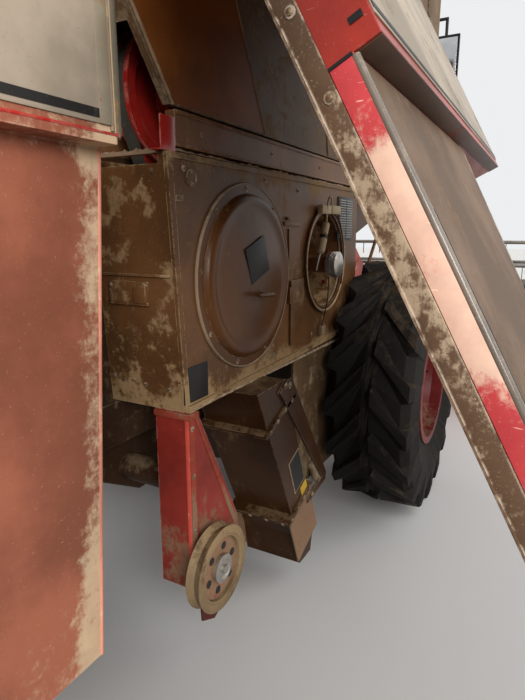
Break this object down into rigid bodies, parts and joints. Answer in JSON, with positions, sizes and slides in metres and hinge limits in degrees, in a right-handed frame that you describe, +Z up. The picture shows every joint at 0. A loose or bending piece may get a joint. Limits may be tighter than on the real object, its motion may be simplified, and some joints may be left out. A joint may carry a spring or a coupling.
{
  "type": "self-propelled combine harvester",
  "caption": "Grain combine harvester with cab, header, reel, grain tank and side doors, its right side door propped open over the drives.",
  "frame": {"origin": "on the ground under the middle of the machine's bounding box", "axes": "+X forward, +Y to the machine's left, +Z up"},
  "size_m": [8.4804, 4.3019, 3.41],
  "materials": {
    "red_paint": "worn satin red enamel, dusty",
    "brown_paint": "glossy brown enamel under dried dust",
    "white_paint": "off-white enamel",
    "bare_steel": "worn bright and rust-stained steel",
    "cast_grey": "oily dark casting",
    "chrome_rod": "hard-chromed rod",
    "tyre_rubber": "dusty black rubber",
    "glazing": "clear safety glass, grey tint",
    "black_trim": "matte black",
    "lamp_lens": "moulded clear lens"
  },
  "bodies": {
    "machine": {"chassis": "brown_paint", "front_axle": "brown_paint", "rear_axle": "brown_paint", "threshing_body": "brown_paint", "straw_hood": "red_paint", "straw_walkers": "bare_steel", "cleaning_shoe": "brown_paint", "right_housing": "brown_paint", "side_plate": "brown_paint", "drum_cover": "brown_paint", "belt_tensioner": "bare_steel", "returns_leg": "red_paint", "grain_elevator": "brown_paint", "grain_tank": "brown_paint", "tank_sills": "brown_paint", "drive_pulley": "red_paint", "left_drives": "red_paint", "engine_block": "cast_grey", "engine_cover": "red_paint", "cab_shell": "red_paint", "cab_glass": "glazing", "cab_roof": "white_paint", "driver_station": "black_trim", "cab_platform": "brown_paint", "handrail": "brown_paint", "mirrors": "black_trim", "exhaust": "bare_steel", "engine_screen": "black_trim", "lamps": "lamp_lens", "rear_panel_right": "red_paint", "rear_panel_left": "red_paint"},
    "front_wheel_right": {"rim_front_right": "red_paint", "tyre_front_right": "tyre_rubber"},
    "front_wheel_left": {"rim_front_left": "red_paint", "tyre_front_left": "tyre_rubber"},
    "rear_wheel_right": {"rim_rear_right": "red_paint", "tyre_rear_right": "tyre_rubber"},
    "rear_wheel_left": {"rim_rear_left": "red_paint", "tyre_rear_left": "tyre_rubber"},
    "steer_right": {"knuckle_right": "brown_paint"},
    "steer_left": {"knuckle_left": "brown_paint"},
    "steer_link": {"tie_rod": "bare_steel"},
    "feeder": {"feeder_house": "red_paint", "header_table": "red_paint", "cutter_bar": "bare_steel"},
    "auger": {"header_auger": "bare_steel"},
    "reel_frame": {"reel_arms": "red_paint"},
    "reel_rotor": {"reel": "bare_steel"},
    "lift_cylinders": {"lift_barrels": "brown_paint"},
    "lift_pistons": {"lift_rods": "chrome_rod"},
    "unloader": {"unloading_auger": "red_paint"},
    "cab_entry": {"cab_door": "red_paint"},
    "side_door_right": {"right_door": "red_paint"},
    "side_door_left": {"left_door": "red_paint"},
    "foot_sheave": {"foot_pulley": "white_paint"},
    "deflector": {"straw_deflector": "red_paint"}
  },
  "joints": [
    {"name": "front_right_spin", "type": "hinge", "parent": "machine", "child": "front_wheel_right", "pos_m": [0.52022, -1.215, 0.725], "axis": [0, 1, 0], "continuous": true},
    {"name": "front_left_spin", "type": "hinge", "parent": "machine", "child": "front_wheel_left", "pos_m": [0.52022, 1.215, 0.725], "axis": [0, 1, 0], "continuous": true},
    {"name": "rear_right_spin", "type": "hinge", "parent": "steer_right", "child": "rear_wheel_right", "pos_m": [-2.92978, -1.08, 0.43], "axis": [0, 1, 0], "continuous": true},
    {"name": "rear_left_spin", "type": "hinge", "parent": "steer_left", "child": "rear_wheel_left", "pos_m": [-2.92978, 1.08, 0.43], "axis": [0, 1, 0], "continuous": true},
    {"name": "steering", "type": "hinge", "parent": "machine", "child": "steer_right", "pos_m": [-2.92978, -0.87, 0.56], "axis": [0, 0, 1], "range_deg": [-38, 38]},
    {"name": "steering_left", "type": "hinge", "parent": "machine", "child": "steer_left", "pos_m": [-2.92978, 0.87, 0.56], "axis": [0, 0, 1], "range_deg": [-38, 38]},
    {"name": "steer_link_slide", "type": "slide", "parent": "machine", "child": "steer_link", "axis": [0, 1, 0], "range_m": [-0.1194, 0.1194]},
    {"name": "feeder_lift", "type": "hinge", "parent": "machine", "child": "feeder", "pos_m": [1.48022, 0, 1.3], "axis": [0, -1, 0], "range_deg": [0, 26]},
    {"name": "header_auger_spin", "type": "hinge", "parent": "feeder", "child": "auger", "pos_m": [2.92022, 0, 0.43], "axis": [0, 1, 0], "continuous": true},
    {"name": "reel_lift", "type": "hinge", "parent": "feeder", "child": "reel_frame", "pos_m": [2.60022, 0, 0.96], "axis": [0, -1, 0], "range_deg": [0, 20]},
    {"name": "reel_spin", "type": "hinge", "parent": "reel_frame", "child": "reel_rotor", "pos_m": [3.48022, 0, 1.08], "axis": [0, 1, 0], "continuous": true},
    {"name": "lift_barrel_tilt", "type": "hinge", "parent": "machine", "child": "lift_cylinders", "pos_m": [0.67022, 0, 0.52], "axis": [0, -1, 0], "range_deg": [0, 10.56]},
    {"name": "lift_rod_slide", "type": "slide", "parent": "lift_cylinders", "child": "lift_pistons", "axis": [0.9996, 0, 0.0296], "range_m": [0, 0.3077]},
    {"name": "unloader_swing", "type": "hinge", "parent": "machine", "child": "unloader", "pos_m": [0.36522, 1.42, 2.88], "axis": [0, 0, -1], "range_deg": [0, 100]},
    {"name": "cab_door_swing", "type": "hinge", "parent": "machine", "child": "cab_entry", "pos_m": [1.01522, 0.748, 2.6], "axis": [0, 0, 1], "range_deg": [0, 80]},
    {"name": "right_door_swing", "type": "hinge", "parent": "machine", "child": "side_door_right", "pos_m": [-1.12978, -1.262, 2.668], "axis": [-1, 0, 0], "range_deg": [-28, 43]},
    {"name": "left_door_swing", "type": "hinge", "parent": "machine", "child": "side_door_left", "pos_m": [-1.12978, 1.262, 2.668], "axis": [1, 0, 0], "range_deg": [0, 71]},
    {"name": "foot_pulley_spin", "type": "hinge", "parent": "machine", "child": "foot_sheave", "pos_m": [-1.24678, -1.03, 0.457], "axis": [0, 1, 0], "continuous": true},
    {"name": "deflector_tilt", "type": "hinge", "parent": "machine", "child": "deflector", "pos_m": [-4.06478, 0, 1.33], "axis": [0, 1, 0], "range_deg": [-15, 40]}
  ],
  "couplings": [
    {"joint": "steering_left", "follows": "steering", "ratio": 1},
    {"joint": "steer_link_slide", "follows": "steering", "m_per_rad": -0.18},
    {"joint": "lift_barrel_tilt", "follows": "feeder_lift", "ratio": 0.406},
    {"joint": "lift_rod_slide", "follows": "feeder_lift", "m_per_rad": 0.678}
  ]
}
